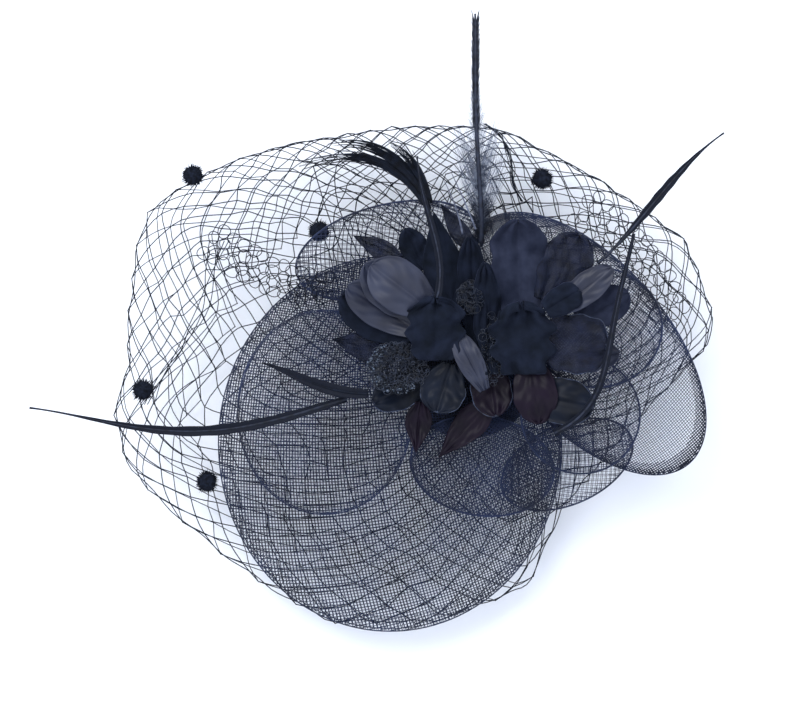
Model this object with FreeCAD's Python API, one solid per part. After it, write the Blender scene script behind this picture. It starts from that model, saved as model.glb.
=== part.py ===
import FreeCAD, Part
import math
import os

# Fascinator headpiece. Millimetres. The origin is the middle of the felt pad's underside, where the
# hair clip is sewn on. +Z points away from the head, +Y along the upright feathers to their tips, and
# +X across the headpiece, from the large saucer to the spray of loops.

os.makedirs("parts", exist_ok=True)

V = FreeCAD.Vector
UP = V(0, 0, 1)

# ---------------------------------------------------------------- driving dimensions
PAD_R = 28.0              # felt pad
PAD_T = 2.0
DISC_R = 27.0             # stiffened foundation disc on the pad
DISC_T = 1.2
DISC_TOP = PAD_T + DISC_T

CLIP_HALF_L = 24.0        # upper jaw, half its length
JAW_HALF_W = 4.2
STRIP_T = 0.8             # steel strip
LEVER_HALF_W = 3.0
PIN_R = 0.8
PIN_CLEARANCE = 0.05      # running fit of the lever on the pin
PIN_X = 10.0
PIN_Z = -4.2
KNUCKLE_R = 1.9
PIN_HEAD_R = 1.3
PIN_HEAD_T = 0.4
EAR_HALF_L = 3.0          # the upper jaw's two ears, which hold the pin
EAR_DROP = 1.6            # how far they reach below the pin's axis
EAR_GAP = 0.3             # between an ear and the lever
JAW_GAP = 0.3             # between the closed jaws' tips
FRONT_TIP_X = -24.0       # lever's front tip
REAR_TIP = (27.0, -10.8)  # end of the finger tab, x and z
LEVER_OVER_PIN = 0.4      # lever's strip at the pin, above and below the axis
LEVER_UNDER_PIN = 0.8
SLOT_HALF_L = 3.2         # cut-out in the lever for the spring
SLOT_CLEARANCE = 0.2
COIL_R_IN = 1.0
WIRE_T = 0.6              # spring wire
COIL_HALF_L = 1.8
LEG_Y = 1.3               # where the two legs leave the coil
FORE_LEG_RUN = 7.0
AFT_LEG_L = 2.6
LEG_CLEARANCE = 0.1       # between the fore leg's end and the upper jaw
STITCH_X = (-9.0, -6.0, -3.0, 17.0, 20.0)
STITCH_T = 0.6

SAUCER_C = (-32.0, -30.0)
SAUCER_A = 69.5           # half width along X
SAUCER_B = 76.0           # half height along Y
SAUCER_APEX_Z = 10.4
SAUCER_DOME_R = 500.0
SAUCER_T = 1.0
HEM_W = 5.6
SAUCER_CUT_H = 20.0       # height of the prisms that trim the dome
STEM_C = (-0.5, 8.5)      # where the stems come through the saucer
STEM_R = 4.5
STEM_TAPER = 0.7          # top radius over foot radius
STEM_TOP_Z = 17.0
STEM_HOLE_GAP = 0.6
FLOWER_STEM_R = 1.4

VEIL_IN_R = 30.2
VEIL_T = 0.5
VEIL_REST_Z = 2.2         # upper layer where the mesh pieces lie on it
DOT_R = 4.2
DOT_SQUASH = 0.6

BLADE_T = 0.7             # feather blades
PETAL_T = 0.7             # stiffened fabric petals

# Flower stems, from the bundle's side to under the flower
FLOWER_STEMS = {
    "left_flower_stem": ((-4.1, 9.8, 15.2), (-15.0, 13.5, 18.4)),
    "right_flower_stem": ((3.3, 9.2, 15.4), (19.5, 12.0, 19.6)),
}

# The loops, petals and feathers on the right lie on a plane that rises outwards from RISE_FROM_X. Their
# heights below are heights over that plane.
RIGHT_RISE = 0.2
RISE_FROM_X = 10.0

# Mesh loops: centre x, y, z, half length, half width, half thickness, turn in degrees, slope along X
# and along Y
LOOPS = {
    "loop_upper_left": (-33.0, 48.0, 12.2, 38.0, 18.5, 2.0, 14.0, 0.03, 0.18),
    "loop_left": (-58.0, -17.0, 16.4, 35.0, 41.0, 2.2, 0.0, -0.12, 0.0),
    "loop_lower": (5.0, -38.5, 15.6, 29.0, 20.0, 1.8, -8.0, 0.08, -0.14),
}
RIGHT_LOOPS = {
    "loop_lower_right": (39.0, -38.0, 9.0, 28.0, 16.0, 1.6, 25.0),
    "loop_right_large": (46.0, 10.8, 12.2, 63.0, 32.5, 2.2, -50.0),
    "loop_small_right": (44.0, -18.0, 16.2, 23.5, 23.5, 1.8, 0.0),
    "loop_right_inner": (50.0, 17.0, 18.6, 26.0, 24.0, 1.6, 0.0),
}

# Veil: one row a station round the base: angle in degrees, outer radius, radius where the puff starts,
# height of the puff's upper layer, depth of its lower layer
VEIL_STATIONS = [
    (6.0, 98.0, 92.0, 7.0, -5.0),
    (12.0, 102.0, 92.0, 7.5, -5.0),
    (31.0, 103.0, 88.0, 9.0, -6.0),
    (56.0, 94.0, 80.0, 9.0, -6.0),
    (83.0, 99.5, 72.0, 9.0, -6.0),
    (106.0, 103.0, 80.0, 10.0, -6.0),
    (130.0, 119.0, 84.0, 12.0, -7.0),
    (141.0, 131.5, 88.0, 12.5, -7.5),
    (153.0, 145.5, 94.0, 13.0, -8.0),
    (160.0, 144.0, 100.0, 12.5, -8.0),
    (173.0, 140.0, 108.0, 12.0, -8.0),
    (180.0, 138.5, 109.0, 11.5, -8.0),
    (187.0, 146.0, 112.0, 11.0, -8.0),
    (196.0, 144.0, 112.0, 10.5, -8.0),
    (205.0, 134.7, 112.0, 8.5, -7.5),
    (216.0, 126.0, 115.5, 5.0, -7.0),
    (228.0, 120.5, 117.8, 2.8, -6.5),
    (241.0, 117.5, 113.0, 2.6, -6.0),
    (262.0, 104.0, 96.0, 2.6, -4.0),
    (285.0, 92.0, 84.0, 2.6, -3.0),
    (305.0, 68.0, 60.0, 2.6, -3.0),
    (340.0, 70.0, 62.0, 2.6, -3.0),
]

# Chenille dots: x, y, z of the middle
DOTS = [
    (-111.2, 78.0, 16.0),
    (29.2, 76.8, 12.5),
    (-131.2, -8.0, 15.2),
    (-106.0, -45.2, 8.5),
    (-60.8, 56.0, 6.4),
]

# Feather blades: centre-line points x, y, z with the blade's full width there
FEATHERS = {
    "biot_left_long": [
        (-50.0, -12.0, 20.6, 3.0), (-72.0, -18.0, 22.6, 4.2), (-102.0, -24.0, 24.5, 4.8),
        (-128.0, -23.2, 24.5, 3.6), (-164.0, -17.2, 22.0, 1.4), (-176.0, -14.8, 21.0, 0.6)],
    "biot_top_short": [
        (-13.5, 29.0, 33.0, 3.2), (-12.5, 44.0, 34.0, 3.8), (-15.2, 56.0, 34.5, 3.8),
        (-18.0, 66.0, 34.0, 2.8), (-21.2, 84.8, 32.0, 0.6)],
    "hackle_top": [
        (4.5, 51.0, 16.5, 16.0), (4.0, 66.0, 19.5, 17.0), (3.2, 84.0, 22.0, 15.0),
        (2.4, 108.0, 24.0, 6.4), (2.0, 142.0, 25.0, 1.2)],
    "leaf_feather_left": [
        (-41.0, -9.0, 26.0, 5.0), (-52.0, -7.6, 26.0, 7.4), (-66.0, -3.4, 25.4, 6.4),
        (-83.0, 3.0, 24.0, 0.8)],
}
RIGHT_FEATHERS = {
    "biot_upper_right": [
        (50.0, 42.0, 29.5, 1.6), (60.0, 52.0, 29.5, 2.6), (72.0, 66.0, 28.5, 4.4),
        (88.0, 84.0, 26.0, 2.4), (99.2, 93.2, 24.0, 0.6)],
    "biot_right_curved": [
        (35.0, -25.0, 24.5, 2.2), (43.0, -17.0, 27.0, 3.0), (51.2, -6.0, 29.5, 3.4),
        (54.4, 8.0, 31.5, 3.2), (57.0, 28.0, 32.5, 2.6), (62.8, 54.0, 31.0, 0.6)],
}
QUILLS = [
    [(2.0, 56.0, 27.6, 1.4), (-2.5, 67.0, 28.2, 1.2), (-7.6, 78.4, 28.6, 0.6)],
    [(-3.2, 54.0, 27.6, 1.4), (-6.0, 65.0, 28.4, 1.2), (-10.5, 75.0, 29.0, 0.6)],
]
COQUE_BLADES = [
    [(-15.5, 67.0, 20.6, 2.6), (-21.0, 79.0, 21.8, 4.4), (-27.0, 87.0, 22.8, 3.6),
     (-35.0, 92.0, 23.4, 0.8)],
    [(-16.5, 65.0, 18.8, 2.6), (-25.0, 79.5, 20.0, 5.0), (-37.0, 88.0, 21.0, 5.0),
     (-50.0, 90.2, 21.6, 3.2), (-60.0, 87.5, 21.8, 0.8)],
    [(-17.0, 62.5, 17.2, 2.4), (-25.5, 76.0, 18.2, 4.0), (-38.0, 83.6, 19.2, 4.0),
     (-55.0, 84.6, 19.8, 2.4), (-72.0, 81.0, 20.2, 0.6)],
]

# Petals: base x, y, z, tip x, y, z, width, cup depth (negative bulges outwards), pointed or round
PETALS = {
    "left_satin_upper": ((-16.0, 24.0, 27.0), (-38.5, 41.0, 30.5), 19.0, -2.0, "round"),
    "left_satin_upper_under": ((-19.0, 21.0, 24.6), (-42.5, 42.5, 27.2), 20.0, 1.2, "round"),
    "left_satin_lower": ((-22.5, 17.0, 22.0), (-46.0, 31.5, 24.4), 13.5, 0.8, "round"),
    "left_satin_lower_under": ((-25.0, 14.0, 20.0), (-49.5, 28.5, 22.2), 17.0, 1.0, "round"),
    "left_organza_side": ((-30.0, 7.0, 18.6), (-53.5, 12.0, 20.2), 13.0, 0.8, "pointed"),
    "left_velvet_small_top": ((-19.0, 42.0, 19.6), (-25.0, 54.5, 21.0), 9.0, 0.8, "round"),
    "left_velvet_tall": ((-8.5, 28.0, 23.0), (-14.0, 60.0, 26.0), 15.0, 1.2, "pointed"),
    "left_velvet_core": ((-14.0, 5.0, 28.7), (-14.0, 27.0, 31.2), 20.0, -2.4, "round"),
    "left_satin_small": ((5.2, -7.0, 25.8), (-5.0, 13.5, 28.0), 9.5, -1.0, "round"),
    "left_taffeta_side": ((-16.0, -2.5, 19.6), (-37.0, -12.5, 20.6), 13.0, 0.8, "round"),
    "left_taffeta_lower": ((-8.0, 1.0, 23.2), (-13.0, -15.0, 24.2), 15.0, 0.8, "round"),
    "left_taffeta_middle": ((6.5, 2.0, 20.8), (10.0, -16.0, 22.0), 13.0, 0.8, "round"),
    "lower_leaf_long": ((8.0, -13.0, 18.0), (-11.0, -33.5, 18.4), 12.0, 0.6, "pointed"),
    "lower_leaf_short": ((-20.0, -14.0, 17.6), (-21.5, -31.5, 17.8), 10.0, 0.6, "pointed"),
    "middle_velvet_tall": ((3.5, 9.0, 22.6), (0.0, 47.0, 27.0), 9.0, 0.8, "round"),
    "middle_velvet_short": ((8.0, 5.0, 25.6), (6.0, 36.0, 30.6), 8.0, 0.8, "round"),
    "organza_leaf_top": ((0.0, 49.0, 22.0), (-10.5, 64.5, 23.0), 7.0, 0.5, "pointed"),
    "organza_leaf_left": ((-29.0, 45.0, 17.6), (-45.0, 53.0, 18.4), 7.5, 0.5, "pointed"),
}
RIGHT_PETALS = {
    "right_velvet_top": ((20.0, 21.0, 22.3), (19.0, 59.0, 25.4), 22.0, 1.6, "round"),
    "right_organza_top": ((32.0, 29.0, 22.8), (42.0, 51.5, 25.6), 16.0, 0.8, "round"),
    "right_satin_side": ((35.0, 24.0, 27.4), (54.5, 39.5, 29.4), 11.0, -1.0, "round"),
    "right_velvet_side": ((43.0, 19.0, 22.6), (60.5, 29.5, 24.4), 12.5, 0.8, "round"),
    "right_velvet_rolled": ((30.0, 24.0, 31.6), (41.5, 31.0, 33.0), 10.0, 1.2, "round"),
    "right_velvet_core": ((21.0, -1.0, 28.6), (20.0, 25.0, 31.6), 23.0, -2.6, "round"),
    "right_organza_lower": ((29.0, 11.5, 26.0), (52.0, 9.5, 27.2), 20.0, 1.0, "round"),
    "right_satin_tip": ((43.0, 5.0, 22.4), (57.5, 6.5, 23.2), 9.0, 0.6, "round"),
    "right_taffeta_glossy": ((25.0, -10.0, 20.4), (47.0, -14.5, 20.8), 16.0, -1.6, "round"),
    "right_velvet_lower": ((24.0, 3.0, 24.6), (27.0, -18.5, 24.4), 14.0, -1.2, "round"),
}

STAMEN_C = (-29.0, 1.0, 24.0)
STAMEN_SIZE = (11.5, 9.5, 1.8)    # half sizes of the beaded cluster


# ---------------------------------------------------------------- helpers
def save(name, shape):
    """Write one node's STEP file."""
    shape.exportStep("parts/%s.step" % name)


def box(x0, x1, y0, y1, z0, z1):
    """A box between two corners."""
    return Part.makeBox(x1 - x0, y1 - y0, z1 - z0, V(x0, y0, z0))


def pin_along_y(radius, y0, y1):
    """A round bar on the clip's hinge axis."""
    return Part.makeCylinder(radius, y1 - y0, V(PIN_X, y0, PIN_Z), V(0, 1, 0))


def ellipsoid(centre, half, turn=0.0, slope_x=0.0, slope_y=0.0):
    """A sphere stretched to three half sizes, turned about Z, sheared to a slope and placed."""
    stretch = FreeCAD.Matrix()
    stretch.scale(half[0], half[1], half[2])
    stretch.rotateZ(math.radians(turn))
    shear = FreeCAD.Matrix(1, 0, 0, 0, 0, 1, 0, 0, slope_x, slope_y, 1, 0, 0, 0, 0, 1)
    solid = Part.makeSphere(1.0).transformGeometry(shear * stretch)
    solid.translate(V(*centre))
    return solid


def raised(x, z):
    """Height of a right-hand piece's point over the felt pad's underside."""
    return z + RIGHT_RISE * (x - RISE_FROM_X)


def blade(points):
    """A thin blade lofted through rectangles set across a centre line of x, y, z, width points."""
    middles = [V(*p[:3]) for p in points]
    sections = []
    for i, p in enumerate(points):
        ahead = middles[min(i + 1, len(points) - 1)] - middles[max(i - 1, 0)]
        side = UP.cross(ahead).normalize()
        lift = ahead.cross(side).normalize()
        across = side * (p[3] / 2)
        rise = lift * (BLADE_T / 2 * min(1.0, 0.4 + p[3] / 4))
        m = middles[i]
        corners = [m - across - rise, m + across - rise, m + across + rise, m - across + rise]
        sections.append(Part.makePolygon(corners + corners[:1]))
    return Part.makeLoft(sections, True, False)


def petal_outline(length, width, kind):
    """Closed outline of a petal along +X from a narrow base, with a round or a pointed tip."""
    if kind == "round":
        stations = [(0.0, 0.18), (0.2, 0.36), (0.45, 0.48), (0.68, 0.49), (0.87, 0.36), (0.965, 0.18)]
    else:
        stations = [(0.0, 0.16), (0.3, 0.45), (0.5, 0.46), (0.8, 0.2)]
    left = [V(length * s, width * w, 0) for s, w in stations]
    right = [V(p.x, -p.y, 0) for p in reversed(left)]
    tip = V(length, 0, 0)
    base = Part.LineSegment(right[-1], left[0])
    if kind == "round":
        edge = Part.BSplineCurve()
        edge.interpolate(left + [tip] + right)
        return Part.Wire([base.toShape(), edge.toShape()])
    sides = []
    for run in (left + [tip], [tip] + right):
        edge = Part.BSplineCurve()
        edge.interpolate(run)
        sides.append(edge.toShape())
    return Part.Wire([base.toShape()] + sides)


def petal(base, tip, width, cup, kind):
    """A piece of a hollow ball's wall inside a petal outline, laid from its base to its tip."""
    along = V(*tip) - V(*base)
    length = along.Length
    depth = abs(cup)
    radius = (width / 2) ** 2 / (2 * depth) + depth / 2
    radius = max(radius, 1.3 * length)
    sag = radius - math.sqrt(radius ** 2 - (length / 2) ** 2)
    wall = Part.makeSphere(radius + PETAL_T / 2).cut(Part.makeSphere(radius - PETAL_T / 2))
    wall.translate(V(length / 2, 0, math.copysign(radius - sag, cup)))
    prism = Part.Face(petal_outline(length, width, kind)).extrude(V(0, 0, radius))
    prism.translate(V(0, 0, -radius / 2))
    shape = wall.common(prism)
    x_axis = along.normalize()
    y_axis = UP.cross(x_axis).normalize()
    z_axis = x_axis.cross(y_axis)
    placing = FreeCAD.Matrix(
        x_axis.x, y_axis.x, z_axis.x, base[0],
        x_axis.y, y_axis.y, z_axis.y, base[1],
        x_axis.z, y_axis.z, z_axis.z, base[2],
        0, 0, 0, 1)
    shape.transformShape(placing)
    return shape.Solids[0]


# ---------------------------------------------------------------- base and clip
def make_base():
    """Felt pad and the stiffened disc on it."""
    save("felt_pad", Part.makeCylinder(PAD_R, PAD_T))
    save("foundation_disc", Part.makeCylinder(DISC_R, DISC_T, V(0, 0, PAD_T)))


def make_clip():
    """Sprung hair clip: upper jaw sewn to the pad, lower jaw on a pin, and its spring."""
    through = 2 * JAW_HALF_W
    ear_in = LEVER_HALF_W + EAR_GAP
    upper = box(-CLIP_HALF_L, CLIP_HALF_L, -JAW_HALF_W, JAW_HALF_W, -STRIP_T, 0)
    for side in (-1, 1):
        y0, y1 = sorted((side * ear_in, side * JAW_HALF_W))
        upper = upper.fuse(box(PIN_X - EAR_HALF_L, PIN_X + EAR_HALF_L, y0, y1, PIN_Z - EAR_DROP, -STRIP_T))
    upper = upper.cut(pin_along_y(PIN_R, -through, through)).removeSplitter()
    save("clip_upper_jaw", upper)

    pin = pin_along_y(PIN_R, -JAW_HALF_W, JAW_HALF_W)
    pin = pin.fuse(pin_along_y(PIN_HEAD_R, JAW_HALF_W, JAW_HALF_W + PIN_HEAD_T))
    pin = pin.fuse(pin_along_y(PIN_HEAD_R, -JAW_HALF_W - PIN_HEAD_T, -JAW_HALF_W)).removeSplitter()
    save("clip_pin", pin)

    tip_top = -STRIP_T - JAW_GAP
    side_line = [
        (FRONT_TIP_X, tip_top), (PIN_X, PIN_Z + LEVER_OVER_PIN), (REAR_TIP[0], REAR_TIP[1] + STRIP_T),
        REAR_TIP, (PIN_X, PIN_Z - LEVER_UNDER_PIN), (FRONT_TIP_X, tip_top - STRIP_T)]
    corners = [V(x, -LEVER_HALF_W, z) for x, z in side_line]
    plate = Part.Face(Part.makePolygon(corners + corners[:1])).extrude(V(0, 2 * LEVER_HALF_W, 0))
    lever = plate.fuse(pin_along_y(KNUCKLE_R, -LEVER_HALF_W, LEVER_HALF_W))
    slot_y = COIL_HALF_L + SLOT_CLEARANCE
    slot_z = 2 * KNUCKLE_R
    lever = lever.cut(box(PIN_X - SLOT_HALF_L, PIN_X + SLOT_HALF_L, -slot_y, slot_y, PIN_Z - slot_z,
                          PIN_Z + slot_z))
    lever = lever.cut(pin_along_y(PIN_R + PIN_CLEARANCE, -through, through)).removeSplitter()
    save("clip_lower_jaw", lever)

    spring = pin_along_y(COIL_R_IN + WIRE_T, -COIL_HALF_L, COIL_HALF_L)
    wire_r = WIRE_T / 2
    wire_mid = COIL_R_IN + wire_r
    start = V(PIN_X, -LEG_Y, PIN_Z + wire_mid)
    fore = V(PIN_X - FORE_LEG_RUN, -LEG_Y, -STRIP_T - wire_r - LEG_CLEARANCE) - start
    spring = spring.fuse(Part.makeCylinder(wire_r, fore.Length, start, fore))
    aft = Part.makeCylinder(wire_r, AFT_LEG_L, V(PIN_X, LEG_Y, PIN_Z - wire_mid), V(1, 0, 0))
    spring = spring.fuse(aft).cut(pin_along_y(COIL_R_IN, -through, through)).removeSplitter()
    save("clip_spring", spring)


def make_clip_stitches():
    """Thread bars that pass under the upper jaw, with both ends in the pad."""
    reach = JAW_HALF_W + STITCH_T
    bars = []
    for x in STITCH_X:
        outer = box(x, x + STITCH_T, -reach, reach, -STRIP_T - STITCH_T, 0)
        inner = box(x - STITCH_T, x + 2 * STITCH_T, -JAW_HALF_W, JAW_HALF_W, -STRIP_T, STITCH_T)
        bars.append(outer.cut(inner))
    save("clip_stitches", Part.makeCompound(bars))


def make_stems():
    """Wound bundle of all stems on the foundation disc, and the wired stem of each flower."""
    foot = V(STEM_C[0], STEM_C[1], DISC_TOP)
    save("stem_binding", Part.makeCone(STEM_R, STEM_R * STEM_TAPER, STEM_TOP_Z - DISC_TOP, foot))
    for name, (start, end) in FLOWER_STEMS.items():
        run = V(*end) - V(*start)
        save(name, Part.makeCylinder(FLOWER_STEM_R, run.Length, V(*start), run))


# ---------------------------------------------------------------- mesh pieces
def ellipse_prism(a, b, height):
    """An upright elliptical prism at the saucer's middle, standing on z = 0."""
    if b > a:
        curve = Part.Ellipse(V(0, 0, 0), b, a)
        turn = 90.0
    else:
        curve = Part.Ellipse(V(0, 0, 0), a, b)
        turn = 0.0
    prism = Part.Face(Part.Wire(curve.toShape())).extrude(V(0, 0, height))
    prism.rotate(V(0, 0, 0), UP, turn)
    prism.translate(V(SAUCER_C[0], SAUCER_C[1], 0))
    return prism


def make_saucer():
    """Shallow domed dish of mesh, cut to an ellipse, with its doubled hem as a ring round it."""
    ball_c = V(SAUCER_C[0], SAUCER_C[1], SAUCER_APEX_Z - SAUCER_DOME_R)
    wall = Part.makeSphere(SAUCER_DOME_R, ball_c).cut(Part.makeSphere(SAUCER_DOME_R - SAUCER_T, ball_c))
    inside = ellipse_prism(SAUCER_A - HEM_W, SAUCER_B - HEM_W, SAUCER_CUT_H)
    hole = Part.makeCylinder(STEM_R + STEM_HOLE_GAP, SAUCER_CUT_H, V(STEM_C[0], STEM_C[1], 0))
    dish = wall.common(inside).cut(hole)
    hem = wall.common(ellipse_prism(SAUCER_A, SAUCER_B, SAUCER_CUT_H)).cut(inside)
    save("mesh_saucer", dish)
    save("saucer_hem", hem)


def make_loops():
    """Loops of flattened mesh tube, each a thin lens of the loop's outline."""
    for name, (x, y, z, a, b, h, turn, slope_x, slope_y) in LOOPS.items():
        save(name, ellipsoid((x, y, z), (a, b, h), turn, slope_x, slope_y))
    for name, (x, y, z, a, b, h, turn) in RIGHT_LOOPS.items():
        save(name, ellipsoid((x, y, raised(x, z)), (a, b, h), turn, RIGHT_RISE))


# ---------------------------------------------------------------- veil
def veil_section(angle, r_out, r_rise, top_z, low_z):
    """One thin folded section of the veil in a radial plane, as a closed polygon."""
    upper = [
        (VEIL_IN_R, 1.9), (0.5 * (VEIL_IN_R + r_rise), VEIL_REST_Z), (r_rise, VEIL_REST_Z),
        (0.5 * (r_rise + r_out), top_z), (r_out - 2.5, 0.8 * top_z), (r_out, 0.3 * top_z)]
    lower = [
        (r_out - 1.0, 0.5 * low_z), (r_rise, low_z), (0.5 * (VEIL_IN_R + r_rise), 0.8 * low_z),
        (VEIL_IN_R, 0.1)]
    inner_lower = [(r, z + VEIL_T) for r, z in reversed(lower[1:])]
    inner_edge = [(r_out - 1.6, 0.5 * low_z + VEIL_T), (r_out - 0.9, 0.3 * top_z - VEIL_T)]
    inner_upper = [(r, z - VEIL_T) for r, z in reversed(upper[:-1])]
    inner_upper[0] = (r_out - 3.0, 0.8 * top_z - VEIL_T)
    ring = upper + lower + inner_lower + inner_edge + inner_upper
    c = math.cos(math.radians(angle))
    s = math.sin(math.radians(angle))
    corners = [V(r * c, r * s, z) for r, z in ring]
    return Part.makePolygon(corners + corners[:1])


def make_veil():
    """Folded net ring lofted through its stations, and the chenille dots on it."""
    sections = [veil_section(*row) for row in VEIL_STATIONS]
    veil = Part.makeLoft(sections, True, True, True)
    save("veil_net", veil)
    dots = [ellipsoid(c, (DOT_R, DOT_R, DOT_R * DOT_SQUASH)) for c in DOTS]
    save("veil_dots", Part.makeCompound(dots))


# ---------------------------------------------------------------- feathers and flowers
def make_feathers():
    """Stripped biots, hackle, leaf feather, the spray of cock feathers and two bare quills."""
    for name, points in FEATHERS.items():
        save(name, blade(points))
    for name, points in RIGHT_FEATHERS.items():
        save(name, blade([(x, y, raised(x, z), width) for x, y, z, width in points]))
    save("coque_spray", Part.makeCompound([blade(p) for p in COQUE_BLADES]))
    save("quill_pair", Part.makeCompound([blade(p) for p in QUILLS]))


def make_flowers():
    """Petals of both flowers, the organza leaves and the beaded stamen cluster."""
    for name, (base, tip, width, cup, kind) in PETALS.items():
        save(name, petal(base, tip, width, cup, kind))
    for name, (base, tip, width, cup, kind) in RIGHT_PETALS.items():
        ends = [(x, y, raised(x, z)) for x, y, z in (base, tip)]
        save(name, petal(ends[0], ends[1], width, cup, kind))
    save("left_flower_stamens", ellipsoid(STAMEN_C, STAMEN_SIZE, 20.0))


make_base()
make_clip()
make_clip_stitches()
make_stems()
make_saucer()
make_loops()
make_veil()
make_feathers()
make_flowers()
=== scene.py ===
import math

import bpy
import numpy as np
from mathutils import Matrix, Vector


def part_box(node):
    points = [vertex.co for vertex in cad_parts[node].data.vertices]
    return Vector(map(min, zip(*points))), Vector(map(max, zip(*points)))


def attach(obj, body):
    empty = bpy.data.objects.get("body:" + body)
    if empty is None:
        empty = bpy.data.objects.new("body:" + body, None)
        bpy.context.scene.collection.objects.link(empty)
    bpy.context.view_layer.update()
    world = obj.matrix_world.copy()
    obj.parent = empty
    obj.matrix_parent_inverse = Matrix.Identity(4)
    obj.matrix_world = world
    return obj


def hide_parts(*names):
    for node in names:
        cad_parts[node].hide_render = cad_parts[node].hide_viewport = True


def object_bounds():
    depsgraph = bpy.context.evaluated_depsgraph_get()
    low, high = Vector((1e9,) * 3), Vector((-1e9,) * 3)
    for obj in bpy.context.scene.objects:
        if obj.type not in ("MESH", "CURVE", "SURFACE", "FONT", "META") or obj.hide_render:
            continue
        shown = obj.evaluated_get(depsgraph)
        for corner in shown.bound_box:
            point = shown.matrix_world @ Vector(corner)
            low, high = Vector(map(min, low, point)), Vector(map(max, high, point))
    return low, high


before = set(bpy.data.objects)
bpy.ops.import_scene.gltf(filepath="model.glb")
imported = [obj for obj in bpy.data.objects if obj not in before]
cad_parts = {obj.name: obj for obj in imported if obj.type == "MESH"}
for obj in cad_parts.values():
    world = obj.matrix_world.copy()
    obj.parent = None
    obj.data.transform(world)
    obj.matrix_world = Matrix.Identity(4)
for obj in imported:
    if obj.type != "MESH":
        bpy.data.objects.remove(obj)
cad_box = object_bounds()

MM = 0.001
TAU = 2 * math.pi
BODY = "headpiece"
UP = np.array([0.0, 0.0, 1.0])

# ---- driving sizes, in metres
MESH_THREAD_R = 0.145 * MM      # one nylon thread of the saucer and of the large right loop
MESH_PITCH = 1.05 * MM          # spacing of its threads
BRAID_THREAD_R = 0.11 * MM      # one thread of the finer braid of the other loops
RIM_R = 0.3 * MM                # the mesh's folded edge
LOOP_HEM = 3.5 * MM             # how far a loop's rim is folded back
HEM_THREADS = 250               # pairs of threads round the saucer's hem
NET_THREAD_R = 0.24 * MM        # French net
NET_KNOT_R = 0.36 * MM
NET_HALF_ROW = 3.8 * MM         # half the width of a net diamond, towards the middle
NET_COLUMNS = 49                # diamonds round the veil
NET_FOLD = 48 * MM              # how far the net is folded back under itself
NET_DENSE_AT = math.radians(135)    # where the net's diamonds are narrowest, and by what share
NET_CROWDING = 0.33
NET_STRETCH = 0.22              # how much its rows open towards the front, as a share
NET_REST_Z = 2.0 * MM           # lowest height of the veil's upper layer
VANE_T = 0.25 * MM              # a feather's vane
RIM_HIGHLIGHT_R = 0.2 * MM             # thin tube round a petal's rim, coloured lighter than the petal as a painted highlight
LACE_R = 0.15 * MM              # curled thread of the stamens
COQUE_BARBS = 34                # strands in one cluster of the coque spray
OPEN_CLIP_DROP = 3.8 * MM       # room under the headpiece for the clip to open
rng = np.random.default_rng(11)


# ---- numbers
def unit(v):
    """Vectors of length one."""
    v = np.asarray(v, float)
    return v / np.maximum(np.linalg.norm(v, axis=-1, keepdims=True), 1e-12)


def span(node):
    """Lowest and highest corner of a CAD node's box."""
    low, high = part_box(node)
    return np.array(low), np.array(high)


def middle(node):
    """Middle of a CAD node's box."""
    low, high = span(node)
    return (low + high) / 2


def corners(node):
    """All corner points of a CAD node."""
    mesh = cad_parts[node].data
    co = np.empty(len(mesh.vertices) * 3)
    mesh.vertices.foreach_get("co", co)
    return co.reshape(-1, 3)


def triangles(node):
    """Corner numbers of a CAD node's triangles."""
    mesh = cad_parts[node].data
    mesh.calc_loop_triangles()
    tri = np.empty(len(mesh.loop_triangles) * 3, np.int32)
    mesh.loop_triangles.foreach_get("vertices", tri)
    return tri.reshape(-1, 3)


class Axes:
    """A CAD node's middle, its long, wide and thin axes and its half sizes on them. The axes are the
    principal ones of its skin, each triangle weighted by its area."""

    def __init__(self, node, heading=None):
        co = corners(node)
        a, b, c = (co[triangles(node)[:, k]] for k in range(3))
        area = np.linalg.norm(np.cross(b - a, c - a), axis=1)
        mid = (a + b + c) / 3
        centre = np.average(mid, axis=0, weights=area)
        spread = np.cov((mid - centre).T, aweights=area)
        long, wide, thin = np.linalg.eigh(spread)[1].T[::-1]
        if thin[2] < 0:
            thin = -thin
        if heading is not None:
            aim = np.array([math.cos(math.radians(heading)), math.sin(math.radians(heading)), 0.0])
            if abs(wide @ aim) > abs(long @ aim):
                long, wide = wide, long
            if long @ aim < 0:
                long = -long
        wide = np.cross(thin, long)
        self.axes = np.array([long, wide, thin])
        local = (co - centre) @ self.axes.T
        low, high = local.min(0), local.max(0)
        self.centre = centre + ((low + high) / 2) @ self.axes
        self.half = (high - low) / 2
        local = (co - self.centre) @ self.axes.T
        reach = (local[:, :2] ** 2).sum(1)
        self.bend, self.lift = np.polyfit(reach, local[:, 2], 1)


def islands(node):
    """The separate solids of a CAD node that is a group, as one set of corner points each."""
    co = corners(node)
    tri = triangles(node)
    same = np.unique(np.round(co, 7), axis=0, return_inverse=True)[1].ravel()
    tri = same[tri]
    label = np.arange(same.max() + 1)
    while True:
        lowest = label[tri].min(1)
        new = label.copy()
        for k in range(3):
            np.minimum.at(new, tri[:, k], lowest)
        if (new == label).all():
            break
        label = new
    names = label[same]
    return [co[names == n] for n in np.unique(names)]


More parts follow.
